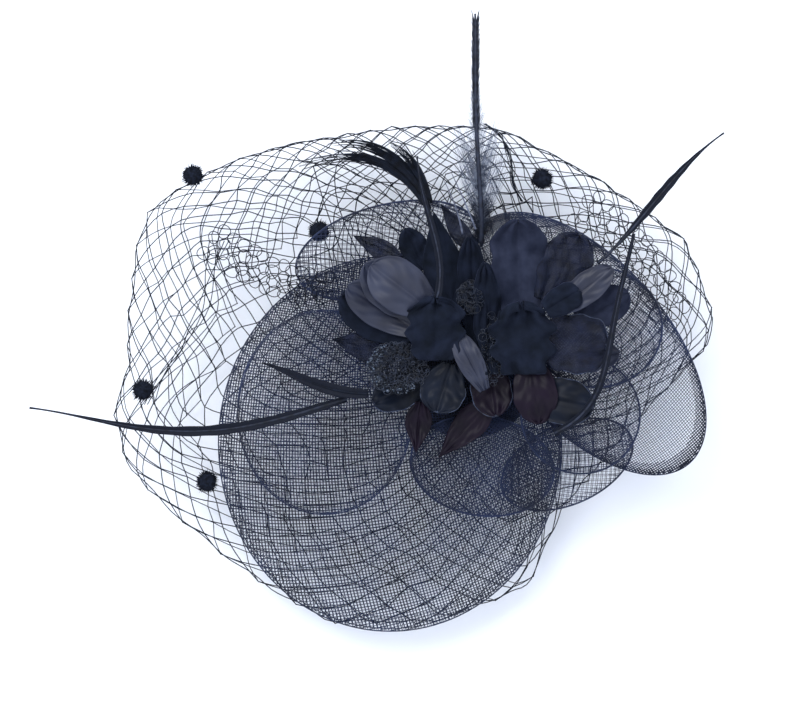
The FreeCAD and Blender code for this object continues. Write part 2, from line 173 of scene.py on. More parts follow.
def blade_line(points, root, count, degree=4):
    """Centre line and half widths of a thin blade, as curves of that degree fitted to its corners over its
    long axis. The line starts at the end nearer to root."""
    centre = points.mean(0)
    axes = np.linalg.eigh(np.cov((points - centre).T))[1].T[::-1]
    x, y, z = ((points - centre) @ axes.T).T
    side = np.polyfit(x, y, degree)
    lift = np.polyfit(x, z, degree)
    width = np.polyfit(x, np.abs(y - np.polyval(side, x)), degree)
    s = np.linspace(x.min(), x.max(), count)
    line = centre + np.stack([s, np.polyval(side, s), np.polyval(lift, s)], -1) @ axes
    half = np.maximum(np.polyval(width, s), 0.15 * MM)
    if np.linalg.norm(line[0] - root) > np.linalg.norm(line[-1] - root):
        line, half = line[::-1], half[::-1]
    return line, half


def polar(r, turn, z):
    """Points at radius r, angle turn and height z."""
    return np.stack(np.broadcast_arrays(r * np.cos(turn), r * np.sin(turn), z), -1)


def smooth_path(points, steps):
    """A Catmull-Rom curve through the points, with that many steps between neighbours."""
    p = np.asarray(points, float)
    p = np.vstack([2 * p[0] - p[1], p, 2 * p[-1] - p[-2]])
    t = np.linspace(0, 1, steps, endpoint=False)[:, None, None]
    a, b, c, d = p[:-3], p[1:-2], p[2:-1], p[3:]
    square, cube = 2 * a - 5 * b + 4 * c - d, 3 * b - a - 3 * c + d
    curve = 0.5 * (2 * b + (c - a) * t + square * t**2 + cube * t**3)
    return np.vstack([curve.transpose(1, 0, 2).reshape(-1, 3), p[-2]])


def along(line, s):
    """Points at fractions s of a path, by its corner count."""
    place = np.clip(s, 0, 1) * (len(line) - 1)
    k = np.minimum(place.astype(int), len(line) - 2)
    f = (place - k)[..., None]
    return line[k] * (1 - f) + line[k + 1] * f


# ---- meshes
def new_object(name, data):
    """A new object, linked to the scene."""
    obj = bpy.data.objects.new(name, data)
    bpy.context.scene.collection.objects.link(obj)
    return obj


def piece(name, shape, mat, replaces=(), uv=None):
    """A new mesh object of a shape, its (corners, faces). It rides on the body and stands for CAD nodes."""
    verts, faces = shape
    mesh = bpy.data.meshes.new(name)
    faces = [face for group in faces for face in np.asarray(group).tolist()]
    mesh.from_pydata(np.asarray(verts).tolist(), [], faces)
    mesh.polygons.foreach_set("use_smooth", np.ones(len(mesh.polygons), bool))
    if uv is not None:
        layer = mesh.uv_layers.new(name="cloth")
        corner = np.empty(len(mesh.loops), np.int32)
        mesh.loops.foreach_get("vertex_index", corner)
        layer.data.foreach_set("uv", uv[corner].ravel())
    mesh.materials.append(mat)
    mesh.update()
    obj = new_object(name, mesh)
    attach(obj, BODY)
    if replaces:
        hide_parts(*replaces)
    return obj


def thicken(obj, thickness):
    """Gives a single surface its thickness, half on each side."""
    mod = obj.modifiers.new("thickness", "SOLIDIFY")
    mod.thickness = thickness
    mod.offset = 0


def grid_faces(rows, columns, wrap=False):
    """Quads of a grid of rows by columns of corners, closed over its columns with wrap."""
    last = columns if wrap else columns - 1
    i, j = np.meshgrid(np.arange(rows - 1), np.arange(last), indexing="ij")
    here, ahead = (i * columns).ravel(), ((i + 1) * columns).ravel()
    j = j.ravel()
    k = (j + 1) % columns
    return np.stack([here + j, here + k, ahead + k, ahead + j], -1)


def tubes(paths, radius, sides=3):
    """Corners and faces of round threads: a ring of corners square to the path at each of its points, and
    closed ends. radius is one number or one array a path."""
    verts, quads, caps = [], [], []
    start = 0
    turn = np.arange(sides) * TAU / sides + 0.5
    for k, path in enumerate(paths):
        path = np.asarray(path, float)
        r = radius[k] if isinstance(radius, (list, tuple)) else radius
        r = np.broadcast_to(np.asarray(r, float), len(path))[:, None, None]
        tangent = unit(np.gradient(path, axis=0))
        least = np.argmin(np.abs(tangent).mean(0))
        side = unit(np.cross(tangent, np.eye(3)[least]))
        rise = np.cross(tangent, side)
        ring = side[:, None] * np.cos(turn)[:, None] + rise[:, None] * np.sin(turn)[:, None]
        verts.append((path[:, None] + r * ring).reshape(-1, 3))
        quads.append(start + grid_faces(len(path), sides, wrap=True))
        caps.append(start + np.arange(sides)[::-1])
        start += len(path) * sides
        caps.append(start - sides + np.arange(sides))
    return np.vstack(verts), [np.vstack(quads), np.array(caps)]


def merge(parts):
    """Joins several (corners, faces) into one."""
    verts, faces = [], []
    start = 0
    for v, groups in parts:
        verts.append(v)
        faces += [np.asarray(g) + start for g in groups]
        start += len(v)
    return np.vstack(verts), faces


def fans(count, columns):
    """Triangles that close a stack of rings over two poles, the last two of its corners."""
    k = np.arange(columns)
    ahead = (k + 1) % columns
    top = count - 2 - columns
    return [np.stack([np.full(columns, count - 2), ahead, k], -1),
            np.stack([np.full(columns, count - 1), top + k, top + ahead], -1)]


def ball(centre, half, rows=8, columns=12, bump=0.0):
    """A closed ball of rings with a fan at each pole, and an optional random bump."""
    lat = np.linspace(-math.pi / 2, math.pi / 2, rows + 1)[1:-1, None]
    lon = np.arange(columns) * TAU / columns
    ring = np.broadcast_arrays(np.cos(lat) * np.cos(lon), np.cos(lat) * np.sin(lon), np.sin(lat))
    points = np.vstack([np.stack(ring, -1).reshape(-1, 3), [[0, 0, -1.0], [0, 0, 1.0]]])
    points = points * (1 + bump * rng.uniform(-1, 1, (len(points), 1)))
    faces = [grid_faces(rows - 1, columns, wrap=True)] + fans(len(points), columns)
    return np.asarray(centre) + points * half, faces


# ---- materials
def srgb(text):
    """A hex colour in linear light, opaque."""
    values = [int(text[i:i + 2], 16) / 255 for i in (1, 3, 5)]
    return [v / 12.92 if v <= 0.04045 else ((v + 0.055) / 1.055) ** 2.4 for v in values] + [1.0]


def add(tree, kind, settings=None, links=None):
    """Adds a node, sets its properties or inputs by name and links its inputs from other sockets."""
    node = tree.nodes.new(kind)
    for key, value in (settings or {}).items():
        if key in node.inputs:
            node.inputs[key].default_value = value
        else:
            setattr(node, key, value)
    for key, socket in (links or {}).items():
        tree.links.new(socket, node.inputs[key])
    return node


def surface(name, settings):
    """A new material with one Principled shader. Returns it, its tree, its shader and its coordinates."""
    mat = bpy.data.materials.new(name)
    mat.use_nodes = True
    tree = mat.node_tree
    shader = tree.nodes["Principled BSDF"]
    for key, value in settings.items():
        shader.inputs[key].default_value = value
    return mat, tree, shader, add(tree, "ShaderNodeTexCoord").outputs


def tint(tree, shader, value, dark, light, low=0.0, high=1.0):
    """Links two colours, mixed by a value from low to high, to the shader."""
    ramp = add(tree, "ShaderNodeValToRGB", links={"Fac": value})
    for stop, place, colour in zip(ramp.color_ramp.elements, (low, high), (dark, light)):
        stop.position = place
        stop.color = srgb(colour)
    tree.links.new(ramp.outputs["Color"], shader.inputs["Base Color"])


def mottled(name, settings, scale, dark, light, low=0.35, high=0.65, detail=3.0):
    """A new material of two colours mixed by noise of that scale, per metre. Returns it, its tree, its
    shader, its coordinates and the noise."""
    mat, tree, shader, coords = surface(name, settings)
    noise = add(tree, "ShaderNodeTexNoise", {"Scale": scale, "Detail": detail}, {"Vector": coords["Object"]})
    tint(tree, shader, noise.outputs["Fac"], dark, light, low, high)
    return mat, tree, shader, coords, noise.outputs["Fac"]


def bump(tree, shader, height, strength, distance):
    """Links a bump of that height to the shader."""
    node = add(tree, "ShaderNodeBump", {"Strength": strength, "Distance": distance}, {"Height": height})
    tree.links.new(node.outputs["Normal"], shader.inputs["Normal"])


def weave(tree, coords, threads, turn=0.0):
    """Height of a plain weave: two crossing sine waves of threads per unit of the coordinates."""
    place = add(tree, "ShaderNodeMapping", {"Rotation": (0, 0, turn)}, {"Vector": coords})
    both = add(tree, "ShaderNodeMath", {"operation": "MAXIMUM"})
    for k, way in enumerate("XY"):
        wave = add(tree, "ShaderNodeTexWave", {"bands_direction": way, "Scale": threads, "Distortion": 0.6},
                   {"Vector": place.outputs["Vector"]})
        tree.links.new(wave.outputs["Fac"], both.inputs[k])
    return both.outputs[0]


def nylon_mesh():
    """Crin: extruded nylon threads dyed navy black. Smooth, with a soft glint along each thread."""
    settings = {"Roughness": 0.5, "IOR": 1.53, "Specular IOR Level": 0.25}
    return mottled("dyed_nylon_mesh_braid", settings, 60.0, "#171e32", "#293658")[0]


def net_thread():
    """French net: twisted viscose thread dyed black. Matt, almost black."""
    settings = {"Roughness": 0.8, "IOR": 1.5, "Specular IOR Level": 0.2}
    return mottled("dyed_viscose_net", settings, 300.0, "#0c1019", "#171d2b")[0]


def chenille():
    """Chenille: cut pile wound to a dot. Deep matt black with a dusty edge."""
    settings = {"Roughness": 0.95, "IOR": 1.5, "Specular IOR Level": 0.15}
    return mottled("cut_pile_chenille", settings, 900.0, "#090c14", "#191f2d")[0]


def cloth(name, settings, mottle, threads, strength, depth, turn=0.0):
    """A mottled material with a plain weave, turned by an angle, on its cloth coordinates."""
    mat, tree, shader, coords, _ = mottled(name, settings, *mottle)
    bump(tree, shader, weave(tree, coords["UV"], threads, turn), strength, depth)
    return mat


def satin():
    """Woven polyester satin, pressed into petals. Long floats give a broad soft highlight."""
    settings = {"Roughness": 0.48, "IOR": 1.55, "Sheen Weight": 0.08, "Sheen Roughness": 0.4,
                "Sheen Tint": srgb("#8088a8"), "Specular IOR Level": 0.32}
    mottle = (90.0, "#1b1f2f", "#2a3044", 0.3, 0.7, 2.0)
    return cloth("pressed_polyester_satin", settings, mottle, threads=40.0, strength=0.2, depth=0.02 * MM)


def velvet(name, dark, light):
    """Rayon velvet with a short cut pile, stamped into petals. Dark face-on and paler at grazing angles."""
    settings = {"Roughness": 0.9, "IOR": 1.48, "Sheen Weight": 0.22, "Sheen Roughness": 0.35,
                "Sheen Tint": srgb("#5a648a"), "Specular IOR Level": 0.1}
    mat, tree, shader, coords, _ = mottled(name, settings, 160.0, dark, light, 0.3, 0.7, 5.0)
    pile = add(tree, "ShaderNodeTexNoise", {"Scale": 1500.0, "Detail": 2.0}, {"Vector": coords["Object"]})
    bump(tree, shader, pile.outputs["Fac"], 0.4, 0.08 * MM)
    return mat


def organza():
    """Silk organza: a sheer open plain weave of twisted filament. Part see-through, with a fine grid."""
    settings = {"Roughness": 0.55, "IOR": 1.5, "Specular IOR Level": 0.12, "Alpha": 0.8}
    mottle = (220.0, "#0e121e", "#1f253a", 0.3, 0.75)
    return cloth("sheer_silk_organza", settings, mottle, threads=26.0, strength=0.5, depth=0.05 * MM,
                 turn=0.8)


def taffeta(name, dark, light):
    """Shot taffeta: a tight crisp weave of two colours. Dark hollows, and a faint gloss along its folds."""
    settings = {"Roughness": 0.45, "IOR": 1.55, "Specular IOR Level": 0.1}
    mottle = (110.0, dark, light, 0.3, 0.7)
    return cloth(name, settings, mottle, threads=44.0, strength=0.2, depth=0.02 * MM)


def vane(name, dark, light):
    """Feather vane: parallel barbs of keratin dyed navy. Fine stripes slant away from the quill."""
    mat, tree, shader, coords = surface(name, {"Roughness": 0.55, "IOR": 1.54, "Specular IOR Level": 0.08})
    place = add(tree, "ShaderNodeMapping", {"Rotation": (0, 0, 0.7)}, {"Vector": coords["UV"]})
    settings = {"Scale": 9.0, "Distortion": 1.5, "Detail": 2.0, "Detail Scale": 2.0}
    barb = add(tree, "ShaderNodeTexWave", settings, {"Vector": place.outputs["Vector"]}).outputs["Fac"]
    tint(tree, shader, barb, dark, light)
    bump(tree, shader, barb, 0.4, 0.03 * MM)
    return mat


def fibre(name, dark, light, roughness=0.6, gloss=0.25):
    """Dyed fibre or keratin strands of two shades, with that share of a full gloss."""
    settings = {"Roughness": roughness, "IOR": 1.54, "Specular IOR Level": gloss}
    return mottled(name, settings, 400.0, dark, light)[0]


def felt():
    """Pressed wool felt: matted fibres without a weave. Matt and slightly hairy."""
    settings = {"Roughness": 0.95, "IOR": 1.5, "Sheen Weight": 0.1, "Specular IOR Level": 0.2}
    mat, tree, shader, _, matting = mottled("pressed_wool_felt", settings, 500.0, "#171a24", "#2a2f3e",
                                            detail=6.0)
    bump(tree, shader, matting, 0.5, 0.3 * MM)
    return mat


def buckram():
    """Buckram: open cotton weave stiffened with starch. The weave is drawn at 1.2 mm a thread."""
    mat, tree, shader, coords = surface("starched_cotton_buckram", {"Roughness": 0.75, "IOR": 1.5})
    height = weave(tree, coords["Object"], 130.0)
    tint(tree, shader, height, "#14161f", "#2c3140")
    bump(tree, shader, height, 0.6, 0.3 * MM)
    return mat


def spring_steel():
    """Nickel-plated spring steel strip, brushed along its length. Bright, with fine lines along X."""
    mat, tree, shader, coords = surface("nickel_plated_steel", {"Metallic": 1.0, "Roughness": 0.3})
    stretch = add(tree, "ShaderNodeMapping", {"Scale": (40, 2500, 2500)}, {"Vector": coords["Object"]})
    lines = add(tree, "ShaderNodeTexNoise", {"Scale": 1.0, "Detail": 4.0},
                {"Vector": stretch.outputs["Vector"]}).outputs["Fac"]
    tint(tree, shader, lines, "#9a9ca3", "#c9cbd1")
    bump(tree, shader, lines, 0.15, 0.05 * MM)
    return mat


def bead_glass():
    """Pressed glass seed beads with a dark metallic lining. Small and very glossy."""
    return mottled("lined_glass_bead", {"Roughness": 0.1, "IOR": 1.52}, 350.0, "#121820", "#4a5668")[0]


CRIN = nylon_mesh()
NET = net_thread()
DOT = chenille()
CLOTH = {
    "satin": satin(),
    "velvet": velvet("stamped_rayon_velvet", "#0c111a", "#181e2d"),
    "pale velvet": velvet("brushed_rayon_velvet", "#1b2030", "#2e3345"),
    "organza": organza(),
    "taffeta": taffeta("shot_silk_taffeta", "#090d15", "#111826"),
    "plum": taffeta("shot_plum_taffeta", "#0b0812", "#170f1e"),
}
BIOT = vane("dyed_goose_biot", "#0b0e16", "#191e2b")
HACKLE = fibre("dyed_hackle_barb", "#10141e", "#262d3f")
DOWN = fibre("dyed_feather_down", "#3a4256", "#8e97a9", 0.8)
COQUE = fibre("dyed_cock_tail_barb", "#070a12", "#111826", 0.5, 0.1)
QUILL = fibre("stripped_keratin_quill", "#3a4052", "#6a7184", 0.4)
FELT = felt()
BUCKRAM = buckram()
STEEL = spring_steel()
SEWING = fibre("mercerised_cotton_thread", "#141824", "#282e3e", 0.55)
TAPE = fibre("crepe_stem_tape", "#12151e", "#1f2430", 0.85)
LACE = fibre("metallic_lace_thread", "#10151f", "#343c4e", 0.4, 0.4)
BEAD = bead_glass()
# Thin tube round some petal rims, coloured lighter than the petals: a painted highlight where the rolled
# edge catches the light.
RIM_HIGHLIGHT = fibre("taffeta_piping", "#161b28", "#39435a", 0.35)
CLOTH_T = {"satin": 0.3 * MM, "velvet": 0.6 * MM, "pale velvet": 0.3 * MM, "organza": 0.18 * MM,
           "taffeta": 0.3 * MM, "plum": 0.3 * MM}


# ---- mesh braid
STEM = middle("stem_binding")
PAD_EDGE = (span("felt_pad")[1] - span("felt_pad")[0])[0] / 2


def braid_piece(name, replaces, centre, axes, half, height, layers, pitch, thread, spare=()):
    """A piece of nylon mesh as its real threads. On the flat each is a log spiral about an apex beyond the
    stem, so the two families cross at a right angle and draw together towards the stem. The disc of
    threads is eased towards its rim, folded near the stem and lifted on the height surface. A layer is
    its side of the piece, its turn, its shift in threads and the share of the outline it starts at."""
    long, wide, thin = axes
    root = (STEM - centre) - ((STEM - centre) @ thin) * thin
    e1 = -unit(root)
    e2 = np.cross(thin, e1)
    basis = np.array([[e1 @ long, e1 @ wide], [e2 @ long, e2 @ wide]])
    size = max(half[0], half[1])
    reach = 3.0 * size
    step = pitch / (reach * math.cos(math.pi / 4))
    widest = math.asin(size / reach) + 0.45
    steps = 240
    point_gap = 2.6 * MM
    ease = 0.16
    r = np.linspace(reach - size, reach + size, steps)
    paths = []
    for side, turned, shift, inner in layers:
        for family in (-1, 1):
            starts = np.arange(-widest, widest, step) + shift * step
            starts += rng.normal(0, 0.025 * step, len(starts))
            for first in starts:
                angle = first + turned + family * np.log(r / reach)
                near = np.clip((reach - r) / size, 0, 1)
                angle = angle + 0.03 * near * np.sin(21 * angle)
                disc = np.stack([r * np.cos(angle) - reach, r * np.sin(angle)], -1) @ basis / half[:2]
                far = np.sqrt((disc**2).sum(1))
                inside = np.nonzero((far < 1) & (far > inner))[0]
                for run in np.split(inside, np.nonzero(np.diff(inside) > 1)[0] + 1):
                    if len(run) < 3:
                        continue
                    length = (run[-1] - run[0]) * (r[1] - r[0]) * 1.4
                    place = np.linspace(run[0], run[-1], max(3, int(length / point_gap)))
                    spot = np.stack([np.interp(place, np.arange(steps), disc[:, k]) for k in (0, 1)], -1)
                    away = np.sqrt((spot**2).sum(1, keepdims=True))
                    flat = spot * (1 + ease * (1 - away)) * half[:2]
                    away = np.minimum(np.sqrt(((flat / half[:2]) ** 2).sum(1)), 1.0)
                    z = height(flat[:, 0], flat[:, 1], away, side) + family * thread * 0.8
                    paths.append(centre + np.stack([flat[:, 0], flat[:, 1], z], -1) @ axes)
    radii = [thread] * len(paths) + [RIM_R, 0.7 * RIM_R] + [BRAID_THREAD_R] * len(spare)
    lap = np.linspace(0, TAU, 121)
    for scale in (1.0, 0.985):
        x, y = scale * half[0] * np.cos(lap), scale * half[1] * np.sin(lap)
        paths.append(centre + np.stack([x, y, height(x, y, np.full(121, scale), 0)], -1) @ axes)
    return piece(name, tubes(paths + list(spare), radii), CRIN, replaces)


def lens(thickness, ripple, phase):
    """Height of a puffed loop: the upper or lower half of a lens, with a slow ripple round its rim."""
    def height(x, y, far, side):
        around = np.arctan2(y, x)
        wave = ripple * far**2 * np.sin(3 * around + phase)
        return side * thickness * np.sqrt(np.maximum(1 - far**2, 0)) + wave
    return height


def make_loops():
    """The seven loops of mesh. Each has its thread, its spacing in mm, its number of layers, its slow
    ripple and that ripple's phase. Every rim is folded back by a narrow hem."""
    styles = {
        "loop_upper_left": (BRAID_THREAD_R, 1.6, 2, 0.5, 0.4),
        "loop_left": (BRAID_THREAD_R, 2.5, 1, 0.6, 1.7),
        "loop_lower": (BRAID_THREAD_R, 1.5, 2, 0.5, 2.9),
        "loop_lower_right": (BRAID_THREAD_R, 1.6, 2, 0.3, 0.2),
        "loop_small_right": (BRAID_THREAD_R, 3.0, 2, 0.3, 4.0),
        "loop_right_large": (MESH_THREAD_R, 0.83, 1, 0.8, 2.2),
        "loop_right_inner": (BRAID_THREAD_R, 2.05, 2, 0.3, 5.1),
    }
    whole = [(1, 0.0, 0.0, 0.0), (-1, 0.11, 0.4, 0.0)]
    for node, (thread, spacing, count, ripple, phase) in styles.items():
        a = Axes(node)
        height = lens(0.9 * a.half[2], ripple * MM, phase)
        hem = 1 - LOOP_HEM / a.half[1]
        layers = whole[:count] + [(-1, 0.2, 0.3, hem), (-1, -0.1, 0.3, 0.5 + 0.5 * hem)]
        loop = braid_piece(node + "_mesh", [node], a.centre, a.axes, a.half, height, layers, spacing * MM,
                           thread)


def make_saucer():
    """The large shallow saucer: two layers of mesh in register on one dome, with a hem of radial threads."""
    low, high = span("saucer_hem")
    inner_low, inner_high = span("mesh_saucer")
    centre = (low + high) / 2
    centre[2] = inner_high[2]
    axes = np.eye(3)
    half = (high - low) / 2
    drop = (inner_high[2] - low[2] - 1.0 * MM) / half[1] ** 2

    def height(x, y, far, side):
        ripple = 0.5 * MM * far**3 * np.sin(5 * np.arctan2(y, x))
        return -drop * (x**2 + y**2) - (0.9 * MM if side < 0 else 0.0) + ripple

    def on_hem(s, turn):
        x, y = s * half[0] * np.cos(turn), s * half[1] * np.sin(turn)
        return centre + np.stack([x, y, height(x, y, s, 1) + 0.4 * MM], -1)

    hem = (inner_high[0] - inner_low[0]) / (high[0] - low[0])
    spare = []
    for angle in np.linspace(0, TAU, HEM_THREADS, endpoint=False):
        for slant in (-0.02, 0.02):
            s = np.linspace(hem, 0.998, 3)
            spare.append(on_hem(s, angle + slant * (s - hem) / (1 - hem)))
    spare.append(on_hem(np.full(161, hem), np.linspace(0, TAU, 161)))
    layers = [(1, 0.0, 0.0, 0.0), (-1, 0.0, 0.14, 0.0)]
    saucer = braid_piece("saucer_mesh", ["mesh_saucer", "saucer_hem"], centre, axes, half, height, layers,
                         MESH_PITCH, MESH_THREAD_R, spare)


# ---- veil
def veil_shape():
    """Outer radius, resting radius, top and lowest height of the CAD veil, by angle round the base. They
    are read where the CAD mesh's edges cross that radial plane."""
    co = corners("veil_net")
    tri = triangles("veil_net")
    edges = np.vstack([tri[:, [0, 1]], tri[:, [1, 2]], tri[:, [2, 0]]])
    p, q = co[edges[:, 0]], co[edges[:, 1]]
    table = []
    for theta in np.linspace(0, TAU, 180, endpoint=False):
        ahead = np.array([math.cos(theta), math.sin(theta), 0.0])
        across = np.array([-ahead[1], ahead[0], 0.0])
        a, b = p @ across, q @ across
        cut = (a * b < 0) & ((p + q) @ ahead > 0)
        f = (a[cut] / (a[cut] - b[cut]))[:, None]
        met = p[cut] * (1 - f) + q[cut] * f
        r, z = met @ ahead, met[:, 2]
        flat = (np.abs(z - NET_REST_Z - 0.15 * MM) < 0.25 * MM) & (r < r.max() - 4 * MM)
        rest = r[flat].max() if flat.any() else 0.8 * r.max()
        table.append((theta, r.max(), rest, z.max(), z.min()))
    table = np.array(table).T
    return lambda theta: [np.interp(theta % TAU, table[0], row, period=TAU)
                          for row in table[1:]]


VEIL = veil_shape()


def make_veil():
    """French net gathered at the base and folded back under itself at its outer edge. A knot's place is
    its angle and its distance from the fold, in rows that open towards the front. Threads run
    diagonally from knot to knot, so they close over the fold, and one thread runs along it."""
    inner = PAD_EDGE + 1.5 * MM
    rows = np.arange(-30, 14)
    places = 2 * NET_COLUMNS
    angle = np.arange(places) * TAU / places
    angle = angle - NET_CROWDING * np.sin(angle - NET_DENSE_AT)
    loose = rng.normal(0, 0.7 * MM, (len(rows), places, 3))
    theta, row = np.meshgrid(angle, rows)
    wave = np.sin(3 * theta + 0.5) + 0.7 * np.sin(7 * theta + 2.0) + 0.5 * np.sin(11 * theta)
    theta = theta + 0.02 * np.sin(row * 0.4 + theta * 5) + np.where(row > 0, 0.015 * row, 0.0)
    out, rest, top, low = VEIL(theta)
    steps = np.abs(row)
    d = NET_HALF_ROW * (steps + 0.009 * steps**2) * (1 + 0.06 * wave) * (1 - NET_STRETCH * np.sin(theta))
    r = out - np.maximum(d - 0.4 * NET_HALF_ROW * (row != 0), 0)
    puff = np.clip(d / np.maximum(out - rest, 8 * MM), 0, 1)
    upper = np.interp(puff, [0, 0.15, 0.5, 1], [0.3, 0.85, 1.0, 0.0])
    z_up = NET_REST_Z + (top - NET_REST_Z) * upper
    z_low = low * np.interp(puff, [0, 0.2, 1], [-0.1, 0.6, 1.0])
    z_low = z_low * np.clip((r - inner) / (25 * MM), 0, 1)
    z = np.where(row <= 0, z_up, z_low)
    z = np.where(row == 0, 0.25 * top, z)
    knots = polar(r, theta, z)
    free = np.clip(d / (10 * MM), 0.3, 1)[..., None] * np.array([1, 1, 0.35])
    knots = knots + loose * free
    knots[..., 2] += 0.6 * MM * np.sin(9 * theta + row) * np.clip(upper, 0, 1)
    folded = (row <= 0) | (d < NET_FOLD * (0.9 + 0.12 * wave))
    kept = (np.hypot(knots[..., 0], knots[..., 1]) > inner) & folded
    paths, radii = [], []
    for family in (-1, 1):
        for k in range(0, places, 2):
            columns = (k + family * np.arange(len(rows))) % places
            for layer, r in ((rows <= 0, NET_THREAD_R), (rows >= 0, 0.85 * NET_THREAD_R)):
                here = np.nonzero(layer & kept[np.arange(len(rows)), columns])[0]
                for run in np.split(here, np.nonzero(np.diff(here) > 1)[0] + 1):
                    if len(run) > 2:
                        paths.append(smooth_path(knots[run, columns[run]], 2))
                        radii.append(r)
    lap = np.linspace(0, TAU, 241)
    out, _, top, _ = VEIL(lap)
    r = out - (0.8 + 0.5 * np.sin(31 * lap)) * MM
    paths.append(polar(r, lap, 0.3 * top))
    radii.append(NET_THREAD_R)
    tied = (np.arange(len(rows))[:, None] + np.arange(places)) % 2 == 0
    used = knots[tied & kept]
    shape = merge([tubes(paths, radii)] + [ball(p, NET_KNOT_R, 3, 4) for p in used])
    piece("veil_net_threads", shape, NET, ["veil_net"])


def on_veil(x, y, lift):
    """Points at x, y on the veil's upper layer, at a share of its height."""
    top = VEIL(np.arctan2(y, x))[2]
    return np.stack([x, y, NET_REST_Z + lift * (top - NET_REST_Z)], -1)


def plan_path(points, steps):
    """A smooth path over places given as x, y in mm, flat on the XY plane."""
    points = np.array(points, float) * MM
    return smooth_path(np.column_stack([points, np.zeros(len(points))]), steps)


def make_veil_gathers():
    """Where the net was bunched: lanes of rings in the veil's middle, a few stray threads on its left and
    a pleat of its threads beside the hackle."""
    left = plan_path([(-104, 52), (-88, 42), (-72, 35), (-58, 32)], 12)
    right = plan_path([(46, 66), (62, 52), (74, 38), (84, 18)], 12)
    paths = []
    turn = np.linspace(0, TAU, 15)
    for line, rings, lanes, gap in ((left, 12, 4, 3.8), (right, 14, 4, 4.4)):
        across = unit(np.cross(UP, np.gradient(line, axis=0)))
        for lane in range(lanes):
            for k in range(rings):
                place = (k + 0.5 * (lane % 2) + rng.uniform(-0.15, 0.15)) / rings
                mid = along(line, np.array([place]))[0]
                mid = mid + across[0] * ((lane - 1.5) * gap + rng.normal(0, 0.4)) * MM
                size = rng.uniform(2.0, 2.9, 2) * MM
                x = mid[0] + size[0] * np.cos(turn)
                y = mid[1] + size[1] * np.sin(turn) * (1 + 0.2 * np.cos(turn + lane))
                paths.append(on_veil(x, y, 0.95))
    stray = np.array([(-102, 52), (-104, 40), (-110, 22), (-122, 0), (-131, -14)], float)
    pleat = np.array([(5, 99.5), (12, 95.5), (15.5, 89.5), (17, 81.6), (17.3, 75), (21, 68)])
    for middle_line, threads, drift, steps, lift in ((stray, 4, 2.6, 8, 0.9), (pleat, 6, 0.6, 6, 0.8)):
        for k in range(threads):
            shift = np.zeros_like(middle_line)
            shift[:, 0] = rng.normal(0, drift, len(middle_line))
            line = plan_path(middle_line + shift, steps)
            paths.append(on_veil(line[:, 0], line[:, 1], lift))
    piece("veil_net_gathers", tubes(paths, 0.85 * NET_THREAD_R), NET)


def make_dots():
    """Chenille dots: a bumpy ball with short fibres standing all over it."""
    parts = []
    hair_count = 900
    squash = np.array([1, 1, 0.62])
    for points in islands("veil_dots"):
        centre = (points.min(0) + points.max(0)) / 2
        radius = (points.max(0) - points.min(0))[0] / 2
        parts.append(ball(centre, radius * np.array([0.86, 0.86, 0.6]), 10, 16, 0.08))
        aim = unit(rng.normal(0, 1, (hair_count, 3)))
        stray = np.where(rng.random((hair_count, 1)) < 0.02, 1.15, 1)
        reach = radius * rng.uniform(0.88, 1.04, (hair_count, 1)) * stray
        bend = rng.normal(0, 0.5 * MM, (hair_count, 3))
        hairs = [centre + squash * np.stack([0.5 * radius * a, 0.8 * e * a + 0.4 * b, e * a + b])
                 for a, e, b in zip(aim, reach, bend)]
        parts.append(tubes(hairs, [np.array([0.22, 0.17, 0.05]) * MM] * len(hairs)))
    piece("veil_dots_chenille", merge(parts), DOT, ["veil_dots"])


# ---- feathers
def vane_strip(line, half, fold, sway):
    """A feather vane: a strip across the line, folded at its middle and rippled along its edges."""
    columns = 9
    v = np.linspace(-1, 1, columns)
    tangent = unit(np.gradient(line, axis=0))
    side = unit(np.cross(UP, tangent))
    rise = np.cross(tangent, side)
    s = np.linspace(0, 1, len(line))[:, None]
    edge = 1 + 0.06 * np.sin(60 * s + 3 * v) * np.abs(v) ** 3
    across = half[:, None] * v * edge
    up = fold * half[:, None] * np.abs(v) + sway * half[:, None] * np.sin(9 * s) * v
    verts = line[:, None] + side[:, None] * across[..., None] + rise[:, None] * up[..., None]
    uv = np.stack(np.broadcast_arrays(s * 18, v * 0.5), -1).reshape(-1, 2)
    return (verts.reshape(-1, 3), [grid_faces(len(line), columns)]), uv


def make_biots():
    """Stripped goose biots: a stiff narrow vane with a quill down its middle."""
    for node, fold in (("biot_left_long", 0.25), ("biot_upper_right", 0.2),
                       ("biot_right_curved", 0.3), ("biot_top_short", 0.3)):
        line, half = blade_line(corners(node), STEM, 60)
        half = 0.95 * half
        shape, uv = vane_strip(line, half, fold, sway=0.08)
        thicken(piece(node + "_vane", shape, BIOT, [node], uv), VANE_T)
        taper = np.linspace(0.55, 0.12, len(line)) * MM
        piece(node + "_quill", tubes([line + UP * 0.15 * MM], [taper], 6), HACKLE)


